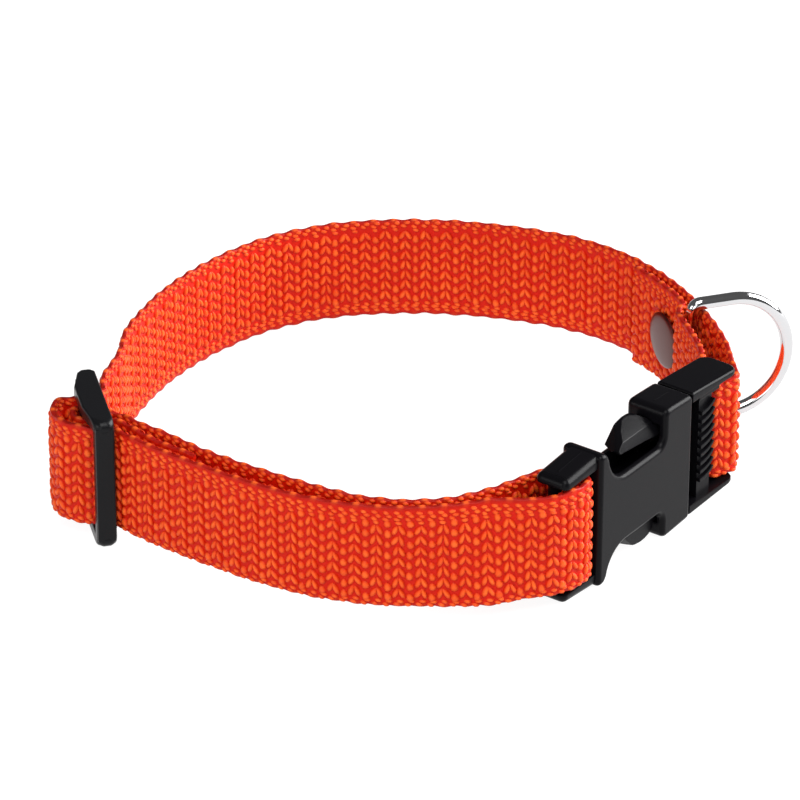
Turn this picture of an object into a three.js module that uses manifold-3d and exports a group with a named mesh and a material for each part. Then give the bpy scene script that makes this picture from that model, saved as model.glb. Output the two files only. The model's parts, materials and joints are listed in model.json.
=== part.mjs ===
// A dog collar of 25 mm webbing: one long strap folded into a loop, a side-release buckle,
// a slider that sets the length, a D-ring held in a fold, and a rivet that closes the fold.
// Millimetres, +Z up. Going round the loop anticlockwise from above, "along" is the way ahead
// and "out" is the outside of the neck. The origin is the middle of the part's bottom.

import * as THREE from "three";
import { mergeVertices } from "three/addons/utils/BufferGeometryUtils.js";
import Module from "manifold-3d";

const wasm = await Module();
wasm.setup();

// Webbing
const WEB_WIDTH = 25;
const WEB_THICK = 2.2;
const WEB_GAP = 0.35; // between the webbing and whatever lies against it
const SAMPLES = 5; // points on the strap's middle line from one chosen point to the next

// The loop round the neck, measured on the middle line of its outer layer
const LOOP_WIDTH = 150;
const LOOP_DEPTH = 134;
const SAG_START = 0.04; // behind this share of the depth the strap sinks to the ground
const SAG_END = 0.45;
const LEAN = 3.1; // how far the strap's top edge leans in beside the buckle
const LEAN_TURN = -73.5; // where it leans most, in degrees round the loop
const LEAN_SPREAD = 8;

// Lengths along the strap from the buckle's end bar, and of the loose tail past the slider
const RING_ALONG = 32.6;
const RIVET_ALONG = 45;
const FOLD_END_ALONG = 61.5;
const TAIL_LENGTH = 19.5;

// Side-release buckle. Its seam is where the two halves meet.
const BUCKLE_AT = [0.3955, -0.2083]; // shares of the loop's width and depth
const BUCKLE_TURN = 54.5;
const BUCKLE_TILT = 0.6; // its socket end is a little higher
const PLUG_BEND = -1.7; // the plug's frame against the socket
const SHOULDER_MARGIN = 3.7; // past each edge of the webbing; both ends are narrower
const BUCKLE_THICK = 10.4;
const MOUTH_MARGIN = 3;
const MOUTH_LENGTH = 10.8;
const WAIST_WIDTH = 15.8;
const WAIST_FILLET = 2.4;
const WAIST_FLARE = 5.6; // along the buckle, where the waist swells to the frame
const SHOULDER_ALONG = 35.8; // from the seam to the webbing slot of the socket
const SHOULDER_WALL = 3.4;
const SOCKET_FRAME = 11.8; // from the webbing slot to the socket's end
const SOCKET_END_MARGIN = 2.6;
const SOCKET_BAR = 3; // round bar that holds the webbing
const FRAME_GAP = 0.5; // between the webbing's edges and the frames' side arms
const ARM_ROOT = 0.8; // how far a bar runs into the frame's side arms
const SOCKET_ARM_DEPTH = 8.4; // through the buckle's thickness
const ARM_CORNER = 1.4;
const ARM_OVERLAP = 2; // how far the frame's arms run into the shell
const SHELL_WALL = 1.6;
const FIT_GAP = 0.45; // between the plug and the socket
const EDGE = 0.8; // chamfer round the socket

const PLUG_LENGTH = 16.9; // from the seam to the end of the plug's frame
const PLUG_MARGIN = 2.85;
const PLUG_END_MARGIN = 1.7;
const PLUG_DEPTH = 9.6;
const PLUG_BAR = 3;
const PLUG_CORNER = 2.2; // at the end of the plug's arms
const PLUG_EDGE = 0.6;
const PLUG_WALL = 2.4; // from the seam into the plug's frame
const PLUG_WALL_IN = 2.2; // and from the seam into the mouth
const PLUG_WALL_EDGE = 0.4;
const TOOTH_BAR_START = 3.8;
const TOOTH_BAR_END = 8.9;
const TOOTH_COUNT = 9;
const TOOTH_DEPTH = 1.2;
const TOOTH_PITCH = 2.2;
const PRONG_LENGTH = 25;
const PRONG_WIDTH = 3.6; // the springy arm, before its pad
const PAD_WIDTH = 27.8;
const PRONG_DEPTH = 5.8; // through the buckle's thickness
const PAD_RISE = 6.4; // height of the pad's curved back
const PAD_CREST = 3; // from the latch to the top of the pad's curve
const PAD_LIP = 0.6; // cut off the pad's latching corner
const PRONG_THIN = 0.8; // how much the prong thins before its pad
const GUIDE_LENGTH = 20;
const GUIDE_WIDTH = 5;

// Slider with a middle bar
const SLIDER_AT = [-0.441, -0.234]; // shares of the loop's width and depth
const SLIDER_TURN = -77;
const SLIDER_LENGTH = 24.4;
const SLIDER_MARGIN = 3.3;
const SLIDER_THICK = 4.4;
const SLIDER_SWELL = 1.3; // the rails swell outward between the end bars
const SLIDER_RAIL = 2.9;
const SLIDER_END_BAR = 3.3;
const SLIDER_MID_BAR = 3;
const SLIDER_MID_THICK = 2.1;
const BAR_CORNER = 0.8;
const MID_CORNER = 0.6;
const RAIL_CUT = 1; // at the corners of the rails
const RAIL_STEP = 0.4; // lower than the end bars at their far outer corner
const BULGE_OUT = 8.8; // how far the strap arcs out over the slider

// D-ring
const WIRE = 3;
const RING_REACH = 22.6; // from the bar to the far side, middle line of the wire
const RING_STRAIGHT = 9.4;
const RING_CORNER = 1.9;
const RING_TURN = -2; // how far it has swung from pointing straight out

// Rivet
const RIVET_CAP = 13;
const RIVET_DOME = 1;
const RIVET_SHANK = 4;
const RIVET_GAP = 0.3;
const RIVET_SAG = 0.6; // how far the inner layer curls towards the cap's rim

// Middle line of the outer layer: shares of LOOP_WIDTH and LOOP_DEPTH, from the buckle's plug
// round the back to the slider, and from the slider along the front to the buckle's socket.
const BACK_RUN = [
  [0.490, -0.119],
  [0.486, -0.076],
  [0.480, -0.015],
  [0.466, 0.046],
  [0.441, 0.129],
  [0.414, 0.201],
  [0.386, 0.260],
  [0.349, 0.318],
  [0.301, 0.369],
  [0.241, 0.409],
  [0.153, 0.441],
  [0.061, 0.458],
  [-0.030, 0.458],
  [-0.122, 0.439],
  [-0.205, 0.393],
  [-0.267, 0.328],
  [-0.316, 0.255],
  [-0.353, 0.181],
  [-0.381, 0.107],
  [-0.405, 0.030],
  [-0.412, -0.040],
];
const FRONT_RUN = [
  [-0.357, -0.345],
  [-0.283, -0.407],
  [-0.208, -0.463],
  [-0.121, -0.512],
  [-0.026, -0.538],
  [0.066, -0.539],
  [0.129, -0.531],
];

// Air between the outer and inner layers of the front: how far along the front run, as a
// share of its length, and the air as a share of LOOSE_AIR.
const LOOSE_AIR = 6;
const FRONT_AIR = [
  [0.97, 0.88],
  [0.93, 0.40],
  [0.885, 0.15],
  [0.84, 0.05],
  [0.78, 0.02],
  [0.70, 0.04],
  [0.62, 0.14],
  [0.56, 0.29],
  [0.50, 0.40],
  [0.43, 0.47],
  [0.35, 0.48],
  [0.27, 0.48],
  [0.19, 0.48],
  [0.11, 0.58],
];

// Values that follow from the sizes above
const BUCKLE_WIDTH = WEB_WIDTH + 2 * SHOULDER_MARGIN;
const MOUTH_WIDTH = WEB_WIDTH + 2 * MOUTH_MARGIN;
const SOCKET_END_WIDTH = WEB_WIDTH + 2 * SOCKET_END_MARGIN;
const SOCKET_LENGTH = SHOULDER_ALONG + SOCKET_FRAME;
const PLUG_WIDTH = WEB_WIDTH + 2 * PLUG_MARGIN;
const PLUG_END_WIDTH = WEB_WIDTH + 2 * PLUG_END_MARGIN;
const SLIDER_WIDTH = WEB_WIDTH + 2 * SLIDER_MARGIN;
const HALF_WEB = WEB_THICK / 2;
const BESIDE = WEB_GAP + HALF_WEB; // from a surface to the middle line of webbing against it
const LAYER = WEB_THICK + WEB_GAP; // from one layer's middle line to the next one's
const FRAME_INSIDE = WEB_WIDTH / 2 + FRAME_GAP; // half the inside of both frames
const SOCKET_BAR_ALONG = -SOCKET_LENGTH + SOCKET_BAR * 0.63;
const PLUG_BAR_ALONG = PLUG_LENGTH - PLUG_BAR * 0.66;

function share([x, y]) {
  return [x * LOOP_WIDTH, y * LOOP_DEPTH];
}

// A flat frame in plan: place(along, out) gives the plan position.
function planFrame(at, turn) {
  const angle = THREE.MathUtils.degToRad(turn);
  return {
    at: at,
    angle: angle,
    place: (along, out) => [
      at[0] + along * Math.cos(angle) + out * Math.sin(angle),
      at[1] + along * Math.sin(angle) - out * Math.cos(angle),
    ],
  };
}

const socketFrame = planFrame(share(BUCKLE_AT), BUCKLE_TURN);
const plugFrame = planFrame(share(BUCKLE_AT), BUCKLE_TURN + PLUG_BEND);
const sliderFrame = planFrame(share(SLIDER_AT), SLIDER_TURN);
const socketBarAt = socketFrame.place(SOCKET_BAR_ALONG, 0);

function curveThrough(points) {
  return new THREE.CatmullRomCurve3(points.map(([x, y]) => new THREE.Vector3(x, y, 0)));
}

// The plan position beside a curve, a length along it and a distance in from it
function beside(curve, length, inward) {
  const t = length / curve.getLength();
  const point = curve.getPointAt(t);
  const tangent = curve.getTangentAt(t);
  return [point.x - tangent.y * inward, point.y + tangent.x * inward];
}

// Points round a corner of a bar, from one direction to another, in a frame's along and out
function round(frame, along, out, radius, from, to, steps) {
  const points = [];
  for (let i = 0; i <= steps; i++) {
    const angle = THREE.MathUtils.degToRad(from + ((to - from) * i) / steps);
    points.push(frame.place(along + radius * Math.cos(angle), out + radius * Math.sin(angle)));
  }
  return points;
}

// Slider positions that both its bars and the webbing use
const endBarInside = SLIDER_LENGTH / 2 - SLIDER_END_BAR;
const midBarOut = SLIDER_THICK / 2 + SLIDER_SWELL * 0.8;
const midBarIn = midBarOut - SLIDER_MID_THICK;

// The main layer goes in under the far bar, out over the middle bar and in under the near bar.
function sliderMainPass() {
  const corner = endBarInside + BAR_CORNER;
  const outCorner = SLIDER_THICK / 2 - BAR_CORNER;
  const radius = BAR_CORNER + BESIDE;
  const arc = [
    [-1, 0.05],
    [-0.92, 0.42],
    [-0.95, 0.62],
    [-0.82, 0.84],
    [-0.5, 0.98],
    [-0.12, 1.0],
    [0.26, 0.89],
    [0.56, 0.68],
    [0.78, 0.42],
    [0.98, 0.05],
  ];
  const slotLine = endBarInside - BESIDE;
  return [
    sliderFrame.place(-SLIDER_LENGTH / 2 - 1.5, -SLIDER_THICK / 2 - BESIDE - 0.6),
    ...round(sliderFrame, -corner, -outCorner, radius, -90, 0, 2),
    ...arc.map(([a, o]) => sliderFrame.place(a * slotLine, o * BULGE_OUT)),
    ...round(sliderFrame, corner, -outCorner, radius, 180, 270, 2),
  ];
}

// The strap's end comes back under the near bar, turns round the middle bar and goes out again.
function sliderTailPass() {
  const corner = SLIDER_MID_BAR / 2 - MID_CORNER;
  const radius = MID_CORNER + BESIDE;
  const low = -SLIDER_THICK / 2 - BESIDE;
  const reach = endBarInside;
  return [
    sliderFrame.place(reach * 0.75, low - LAYER * 1.75),
    sliderFrame.place(reach * 0.4, low - LAYER * 0.95),
    sliderFrame.place(reach * 0.13, low + LAYER * 0.15),
    ...round(sliderFrame, -corner, midBarIn + MID_CORNER, radius, 270, 180, 2),
    ...round(sliderFrame, -corner, midBarOut - MID_CORNER, radius, 180, 90, 2),
    ...round(sliderFrame, corner, midBarOut - MID_CORNER, radius, 90, 0, 2),
    sliderFrame.place(corner + radius + 0.2, midBarIn - 0.2),
    sliderFrame.place(corner + radius + 1, low + LAYER * 0.45),
    sliderFrame.place(reach * 0.7, low - LAYER * 0.55),
  ];
}

// Round the socket's bar, from the outside to the inside, with a loose turn
function socketBarPass() {
  const slotLine = -SHOULDER_ALONG - BESIDE;
  const reach = SOCKET_BAR / 2 + BESIDE;
  const slot = slotLine - SOCKET_BAR_ALONG;
  return [
    socketFrame.place(SOCKET_BAR_ALONG - slot * 0.78, -reach * 0.3),
    socketFrame.place(SOCKET_BAR_ALONG - slot * 0.38, reach * 0.72),
    socketFrame.place(SOCKET_BAR_ALONG, reach * 1.2),
    socketFrame.place(slotLine - slot * 0.58, reach * 1.5),
    socketFrame.place(slotLine - slot * 0.15, reach * 1.34),
    socketFrame.place(slotLine - slot * 0.02, reach * 0.7),
    socketFrame.place(slotLine, -reach * 0.2),
    socketFrame.place(slotLine - slot * 0.14, -reach * 1.1),
    socketFrame.place(slotLine - slot * 0.42, -reach * 1.95),
  ];
}

function plugBarPass() {
  const radius = PLUG_BAR / 2 + BESIDE;
  return round(plugFrame, PLUG_BAR_ALONG, 0, radius, 270, 90, 4);
}

const plugTurn = plugBarPass();
const mainPass = sliderMainPass();
const socketTurn = socketBarPass();
const backCurve = curveThrough([plugTurn.at(-1), ...BACK_RUN.map(share), mainPass[0]]);
const frontCurve = curveThrough([mainPass.at(-1), ...FRONT_RUN.map(share), socketTurn[0]]);
const FOLD_REACH = WIRE + 2 * BESIDE + WEB_GAP / 2; // between the layers that hold the ring's bar

// The whole strap's middle line, from the cut end by the rivet to the cut end past the slider
function strapLine() {
  const rim = RIVET_ALONG - RIVET_CAP / 2;
  const rise = FOLD_REACH - LAYER;
  const fold = [
    [FOLD_END_ALONG, LAYER],
    [(FOLD_END_ALONG + RIVET_ALONG) / 2, LAYER],
    [RIVET_ALONG + RIVET_SHANK, LAYER],
    [RIVET_ALONG - RIVET_SHANK, LAYER],
    [rim, LAYER + rise * 0.07],
    [(rim + RING_ALONG + WIRE / 2) / 2, LAYER + rise * 0.55],
    [RING_ALONG + WIRE * 0.4, FOLD_REACH - WEB_GAP / 2],
    [RING_ALONG - WIRE * 0.6, FOLD_REACH],
    [RING_ALONG - WIRE * 3, FOLD_REACH],
    [RING_ALONG - WIRE * 5.6, FOLD_REACH],
  ];
  const frontLength = frontCurve.getLength();
  const inside = FRONT_AIR.map(([along, air]) =>
    beside(frontCurve, along * frontLength, LAYER + air * LOOSE_AIR)
  );
  const tail = [0.3, 0.6, 1].map((part) => beside(frontCurve, part * TAIL_LENGTH, LAYER));
  return [
    ...fold.map(([along, inward]) => beside(backCurve, along, inward)),
    ...plugTurn,
    ...BACK_RUN.map(share),
    ...mainPass,
    ...FRONT_RUN.map(share),
    ...socketTurn,
    ...inside,
    ...sliderTailPass(),
    ...tail,
  ];
}

// Height of the strap's lower edge: held up by the slider and by the buckle, whose tilt lifts
// its socket end, and on the ground behind
function strapFoot(x, y) {
  const across = THREE.MathUtils.smoothstep(x, sliderFrame.at[0], socketFrame.at[0] / 2);
  const bySlider = (SLIDER_WIDTH - WEB_WIDTH) / 2;
  const byBuckle = (BUCKLE_WIDTH - WEB_WIDTH) / 2;
  const held = THREE.MathUtils.lerp(bySlider, byBuckle, across);
  const back = THREE.MathUtils.smoothstep(y / LOOP_DEPTH, SAG_START, SAG_END);
  const nearBar = Math.hypot(x - socketBarAt[0], y - socketBarAt[1]) / SOCKET_LENGTH;
  const lift = -SOCKET_BAR_ALONG * Math.sin(THREE.MathUtils.degToRad(BUCKLE_TILT));
  return held * (1 - back) + lift * (1 - THREE.MathUtils.smoothstep(nearBar, 0.15, 0.5));
}

// How far in the strap's top edge leans there, and its lower edge the other way. The buckle's
// bar holds it upright.
function strapLean(x, y) {
  const fromBar = Math.hypot(x - socketBarAt[0], y - socketBarAt[1]);
  const free = THREE.MathUtils.smoothstep(fromBar, SOCKET_BAR * 2, SOCKET_BAR * 5);
  const turn = THREE.MathUtils.radToDeg(Math.atan2(y, x));
  const away = (turn - LEAN_TURN) / LEAN_SPREAD;
  return LEAN * free * Math.exp(-away * away);
}

// One corner of the strap's cross-section, at a point of its line: side 1 is the outer face
function strapCorner(point, tangent, side, height) {
  const x = point.x + side * tangent.y * HALF_WEB;
  const y = point.y - side * tangent.x * HALF_WEB;
  const lean = strapLean(x, y) * (height / WEB_WIDTH - 0.5);
  const reach = Math.hypot(x, y);
  return [x - (x / reach) * lean, y - (y / reach) * lean, height + strapFoot(x, y)];
}

// Strap: a row of four-cornered sections along the folded line, closed at both ends
function strapGeometry() {
  const line = curveThrough(strapLine());
  const count = (line.points.length - 1) * SAMPLES;
  const positions = [];
  const faces = [];
  for (let i = 0; i <= count; i++) {
    const point = line.getPoint(i / count);
    const tangent = line.getTangent(i / count);
    positions.push(
      ...strapCorner(point, tangent, 1, 0),
      ...strapCorner(point, tangent, -1, 0),
      ...strapCorner(point, tangent, -1, WEB_WIDTH),
      ...strapCorner(point, tangent, 1, WEB_WIDTH)
    );
  }
  for (let i = 0; i < count; i++) {
    for (let k = 0; k < 4; k++) {
      const here = 4 * i + k;
      const beyond = 4 * i + ((k + 1) % 4);
      faces.push(here, beyond, beyond + 4, here, beyond + 4, here + 4);
    }
  }
  const last = 4 * count;
  faces.push(0, 3, 2, 0, 2, 1, last, last + 1, last + 2, last, last + 2, last + 3);
  const geometry = new THREE.BufferGeometry();
  geometry.setAttribute("position", new THREE.Float32BufferAttribute(positions, 3));
  geometry.setIndex(faces);
  return geometry;
}

// Closed triangle meshes and manifold solids
function solid(geometry) {
  const bare = geometry.clone();
  bare.deleteAttribute("normal");
  bare.deleteAttribute("uv");
  const merged = mergeVertices(bare, 1e-4);
  const mesh = new wasm.Mesh({
    numProp: 3,
    vertProperties: new Float32Array(merged.attributes.position.array),
    triVerts: new Uint32Array(merged.index.array),
  });
  return new wasm.Manifold(mesh);
}

function geometryOf(body) {
  const mesh = body.getMesh();
  const geometry = new THREE.BufferGeometry();
  geometry.setAttribute("position", new THREE.BufferAttribute(mesh.vertProperties, 3));
  geometry.setIndex(new THREE.BufferAttribute(mesh.triVerts, 1));
  geometry.computeVertexNormals();
  return geometry;
}

function join(geometries) {
  return geometries.map(solid).reduce((whole, piece) => whole.add(piece));
}

// A plate seen from outside the loop: points of along and height, through the thickness
function slab(points, thick, chamfer = 0) {
  const shape = new THREE.Shape(points.map(([along, height]) => new THREE.Vector2(along, height)));
  const geometry = new THREE.ExtrudeGeometry(shape, {
    depth: thick - 2 * chamfer,
    bevelEnabled: chamfer > 0,
    bevelSize: chamfer,
    bevelThickness: chamfer,
    bevelOffset: -chamfer,
    bevelSegments: 1,
  });
  geometry.rotateX(Math.PI / 2);
  geometry.translate(0, thick / 2 - chamfer, 0);
  return geometry;
}

// A post seen from above: points of along and out, from one height to another
function post(points, low, high) {
  const shape = new THREE.Shape(points.map(([along, out]) => new THREE.Vector2(along, -out)));
  const geometry = new THREE.ExtrudeGeometry(shape, { depth: high - low, bevelEnabled: false });
  geometry.translate(0, 0, low);
  return geometry;
}

// Points of a rectangle in plan with its corners cut
function cutRectangle(startAlong, endAlong, inner, outer, cut) {
  return [
    [startAlong + cut, inner],
    [endAlong - cut, inner],
    [endAlong, inner + cut],
    [endAlong, outer - cut],
    [endAlong - cut, outer],
    [startAlong + cut, outer],
    [startAlong, outer - cut],
    [startAlong, inner + cut],
  ];
}

function roundBar(along, diameter) {
  const length = 2 * (FRAME_INSIDE + ARM_ROOT);
  const geometry = new THREE.CylinderGeometry(diameter / 2, diameter / 2, length, 20);
  geometry.rotateX(Math.PI / 2);
  geometry.translate(along, 0, 0);
  return geometry;
}

// A side arm of a frame: its outline in plan, and its outer face sloping from start to end
function frameArm(planOutline, [startAlong, startHeight], [endAlong, endHeight]) {
  const band = slab(
    [
      [startAlong, FRAME_INSIDE],
      [startAlong, startHeight],
      [endAlong, endHeight],
      [endAlong, FRAME_INSIDE],
    ],
    BUCKLE_THICK * 2
  );
  const prism = post(planOutline, 0, startHeight * 2);
  return geometryOf(solid(prism).intersect(solid(band)));
}

function turnedOver(geometry) {
  return geometry.clone().rotateX(Math.PI);
}

// The upper half of an outline and the same points mirrored below
function mirrored(upper) {
  const lower = upper.map(([along, height]) => [along, -height]).reverse();
  return [...upper, ...lower];
}

function arcPoints(along, height, radiusAlong, radiusHeight, from, to, steps) {
  const points = [];
  for (let i = 0; i <= steps; i++) {
    const angle = THREE.MathUtils.degToRad(from + ((to - from) * i) / steps);
    points.push([along + radiusAlong * Math.cos(angle), height + radiusHeight * Math.sin(angle)]);
  }
  return points;
}

// Buckle socket: a flat shell open at the mouth and at both side windows, with a webbing frame
function socketGeometry() {
  const mouth = MOUTH_WIDTH / 2;
  const end = SOCKET_END_WIDTH / 2;
  const waist = WAIST_WIDTH / 2;
  const half = BUCKLE_WIDTH / 2;
  const cavityEnd = -SHOULDER_ALONG + SHOULDER_WALL;
  const flareStart = cavityEnd + WAIST_FLARE;
  const fillet = WAIST_FILLET;
  const outline = mirrored([
    [0, mouth - EDGE],
    [-EDGE, mouth],
    [-MOUTH_LENGTH + EDGE, half - EDGE / 2],
    [-MOUTH_LENGTH, half - EDGE * 2],
    ...arcPoints(-MOUTH_LENGTH - fillet, waist + fillet, fillet, fillet, 0, -90, 4),
    ...arcPoints(flareStart, half, WAIST_FLARE, half - waist, 270, 190, 6),
    [cavityEnd - EDGE, half],
    [-SHOULDER_ALONG, half],
  ]);
  const body = slab(outline, BUCKLE_THICK, EDGE);
  const armStart = -SHOULDER_ALONG + ARM_OVERLAP;
  const depth = SOCKET_ARM_DEPTH / 2;
  const armOutline = [
    [armStart, BUCKLE_THICK / 2 - EDGE],
    [-SHOULDER_ALONG, BUCKLE_THICK / 2 - EDGE / 2],
    [-SOCKET_LENGTH + ARM_CORNER, depth],
    [-SOCKET_LENGTH, depth - ARM_CORNER],
    [-SOCKET_LENGTH, -depth + ARM_CORNER],
    [-SOCKET_LENGTH + ARM_CORNER, -depth],
    [-SHOULDER_ALONG, -BUCKLE_THICK / 2 + EDGE / 2],
    [armStart, -BUCKLE_THICK / 2 + EDGE],
  ];
  const arm = frameArm(armOutline, [armStart, half], [-SOCKET_LENGTH, end]);
  const bar = roundBar(SOCKET_BAR_ALONG, SOCKET_BAR);
  const cavity = slab(
    [
      [1, -mouth + SHELL_WALL * 2],
      [1, mouth - SHELL_WALL * 2],
      [-MOUTH_LENGTH, mouth - SHELL_WALL * 2],
      [-MOUTH_LENGTH, half + 1],
      [cavityEnd, half + 1],
      [cavityEnd, -half - 1],
      [-MOUTH_LENGTH, -half - 1],
      [-MOUTH_LENGTH, -mouth + SHELL_WALL * 2],
    ],
    BUCKLE_THICK - 2 * SHELL_WALL
  );
  return geometryOf(join([body, arm, turnedOver(arm), bar]).subtract(solid(cavity)));
}

// Half of the plug's width that still slides through the socket's mouth
const mouthInside = MOUTH_WIDTH / 2 - SHELL_WALL * 2 - FIT_GAP;
const plugInsideThick = BUCKLE_THICK - 2 * SHELL_WALL - 2 * FIT_GAP;

// One springy prong: an arm from the plug's wall that ends in a pad with a latching shoulder
function prong(side) {
  const pad = PAD_WIDTH / 2;
  const latch = -MOUTH_LENGTH - FIT_GAP;
  const crestToTip = PRONG_LENGTH + latch - PAD_CREST;
  const points = [
    [0, mouthInside - PRONG_WIDTH],
    [0, mouthInside],
    [latch, mouthInside],
    [latch - PAD_LIP / 2, pad - PAD_LIP],
    [latch - PAD_LIP * 2, pad],
    ...arcPoints(latch - PAD_CREST, pad - PAD_RISE, crestToTip, PAD_RISE, 90, 180, 6),
    [-PRONG_LENGTH + PAD_CREST / 2, pad - PAD_RISE - PRONG_THIN],
    [latch - PAD_CREST, mouthInside - PRONG_WIDTH - PRONG_THIN],
    [latch, mouthInside - PRONG_WIDTH],
  ];
  const outline = points.map(([along, height]) => [along, side * height]);
  return slab(outline, PRONG_DEPTH);
}

// Ribbed bar of the plug's frame: the ribs run along the buckle, one above the other
function toothBar() {
  const half = FRAME_INSIDE + ARM_ROOT;
  const face = PLUG_DEPTH / 2 - TOOTH_DEPTH;
  const top = FRAME_INSIDE;
  const points = [[-face + 1, -half]];
  points.push([-face + 1, half], [face, half], [face, top]);
  for (let i = 0; i < TOOTH_COUNT; i++) {
    const height = top - i * TOOTH_PITCH;
    points.push([face + TOOTH_DEPTH, height - TOOTH_PITCH * 0.75]);
    points.push([face, height - TOOTH_PITCH]);
  }
  points.push([face, -half]);
  const shape = new THREE.Shape(points.map(([out, height]) => new THREE.Vector2(out, height)));
  const length = TOOTH_BAR_END - TOOTH_BAR_START;
  const geometry = new THREE.ExtrudeGeometry(shape, { depth: length, bevelEnabled: false });
  geometry.rotateX(Math.PI / 2);
  geometry.rotateZ(-Math.PI / 2);
  geometry.translate(TOOTH_BAR_END, 0, 0);
  return geometry;
}

// Buckle plug: a webbing frame with a ribbed bar, and two prongs and a guide in the socket
function plugGeometry() {
  const half = PLUG_WIDTH / 2;
  const depth = PLUG_DEPTH / 2;
  const armOutline = [
    [FIT_GAP, depth - PLUG_EDGE],
    [FIT_GAP + PLUG_EDGE, depth],
    [PLUG_LENGTH - PLUG_CORNER, depth],
    [PLUG_LENGTH, depth - PLUG_CORNER],
    [PLUG_LENGTH, -depth + PLUG_CORNER],
    [PLUG_LENGTH - PLUG_CORNER, -depth],
    [FIT_GAP + PLUG_EDGE, -depth],
    [FIT_GAP, -depth + PLUG_EDGE],
  ];
  const arm = frameArm(armOutline, [FIT_GAP, half], [PLUG_LENGTH, PLUG_END_WIDTH / 2]);
  const frame = [
    arm,
    turnedOver(arm),
    roundBar(PLUG_BAR_ALONG, PLUG_BAR),
    toothBar(),
  ];
  const bend = THREE.MathUtils.degToRad(PLUG_BEND);
  frame.forEach((piece) => piece.rotateZ(bend));
  const inside = plugInsideThick / 2;
  const rootStart = FIT_GAP + PLUG_WALL_EDGE;
  const wallOutline = cutRectangle(-PLUG_WALL_IN, PLUG_WALL, -inside, inside, PLUG_WALL_EDGE);
  const wall = post(wallOutline, -mouthInside, mouthInside);
  const rootOutline = cutRectangle(rootStart, PLUG_WALL, -inside, inside, PLUG_WALL_EDGE);
  const root = post(rootOutline, -FRAME_INSIDE - ARM_ROOT, FRAME_INSIDE + ARM_ROOT);
  const guide = slab(
    [
      [0, -GUIDE_WIDTH / 2],
      [0, GUIDE_WIDTH / 2],
      [-GUIDE_LENGTH + 2, GUIDE_WIDTH / 2],
      [-GUIDE_LENGTH, GUIDE_WIDTH / 4],
      [-GUIDE_LENGTH, -GUIDE_WIDTH / 4],
      [-GUIDE_LENGTH + 2, -GUIDE_WIDTH / 2],
    ],
    plugInsideThick
  );
  return geometryOf(join([...frame, wall, root, guide, prong(1), prong(-1)]));
}

// Slider: two rails above and below, an end bar at each end and a middle bar near the outside
function sliderGeometry() {
  const half = SLIDER_WIDTH / 2;
  const length = SLIDER_LENGTH / 2;
  const thick = SLIDER_THICK / 2;
  const swell = thick + SLIDER_SWELL;
  const rail = [
    [-length + RAIL_CUT, -thick],
    [length - RAIL_CUT, -thick],
    [length, -thick + RAIL_CUT],
    [length, thick - RAIL_CUT],
    [length - RAIL_CUT, thick],
    [SLIDER_MID_BAR * 1.2, swell],
    [-SLIDER_MID_BAR * 1.8, swell],
    [-length + RAIL_CUT, thick - RAIL_STEP],
    [-length, thick - RAIL_STEP - RAIL_CUT],
    [-length, -thick + RAIL_CUT],
  ];
  const farBar = cutRectangle(-length, -endBarInside, -thick, thick, BAR_CORNER);
  const nearBar = cutRectangle(endBarInside, length, -thick, thick, BAR_CORNER);
  const midHalf = SLIDER_MID_BAR / 2;
  const midBar = cutRectangle(-midHalf, midHalf, midBarIn, midBarOut, MID_CORNER);
  const reach = half - SLIDER_RAIL / 2;
  return geometryOf(
    join([
      post(rail, half - SLIDER_RAIL, half),
      post(rail, -half, -half + SLIDER_RAIL),
      post(farBar, -reach, reach),
      post(nearBar, -reach, reach),
      post(midBar, -reach, reach),
    ])
  );
}

// D-ring wire in its own plane: x out from the bar, y up along the bar
function ringGeometry() {
  const half = WEB_WIDTH / 2 + WEB_GAP + WIRE / 2;
  const corner = RING_CORNER;
  const points = [
    ...[-0.7, 0, 0.7].map((part) => [0, part * (half - corner)]),
    ...arcPoints(corner, half - corner, corner, corner, 180, 90, 3),
    ...arcPoints(RING_STRAIGHT, 0, RING_REACH - RING_STRAIGHT, half, 90, -90, 12),
    ...arcPoints(corner, -half + corner, corner, corner, 270, 180, 3),
  ];
  const vectors = points.map(([x, y]) => new THREE.Vector3(x, 0, y));
  const path = new THREE.CatmullRomCurve3(vectors, true);
  return new THREE.TubeGeometry(path, 96, WIRE / 2, 12, true);
}

// Rivet: a domed cap on each side of the two layers and the shank between them
function rivetGeometry() {
  const inside = -LAYER - HALF_WEB - RIVET_GAP - RIVET_SAG;
  const outside = HALF_WEB + RIVET_GAP;
  const cap = RIVET_CAP / 2;
  const rim = RIVET_DOME * 0.35;
  const profile = [
    [0, inside - RIVET_DOME],
    [cap * 0.45, inside - RIVET_DOME * 0.9],
    [cap * 0.8, inside - RIVET_DOME * 0.62],
    [cap, inside - rim],
    [cap, inside],
    [RIVET_SHANK / 2, inside],
    [RIVET_SHANK / 2, outside],
    [cap, outside],
    [cap, outside + rim],
    [cap * 0.8, outside + RIVET_DOME * 0.62],
    [cap * 0.45, outside + RIVET_DOME * 0.9],
    [0, outside + RIVET_DOME],
  ];
  const geometry = new THREE.LatheGeometry(
    profile.map(([radius, height]) => new THREE.Vector2(radius, height)),
    32
  );
  return geometry;
}

// Where the rivet stands: at a length along the back run, its axis pointing out
const rivetAt = beside(backCurve, RIVET_ALONG, 0);
const rivetTangent = backCurve.getTangentAt(RIVET_ALONG / backCurve.getLength());
const rivetAngle = Math.atan2(rivetTangent.y, rivetTangent.x);
const rivetHeight = strapFoot(...rivetAt) + WEB_WIDTH / 2;

function standRivet(geometry) {
  geometry.rotateZ(Math.PI);
  geometry.rotateZ(rivetAngle);
  geometry.translate(rivetAt[0], rivetAt[1], rivetHeight);
  return geometry;
}

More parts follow.
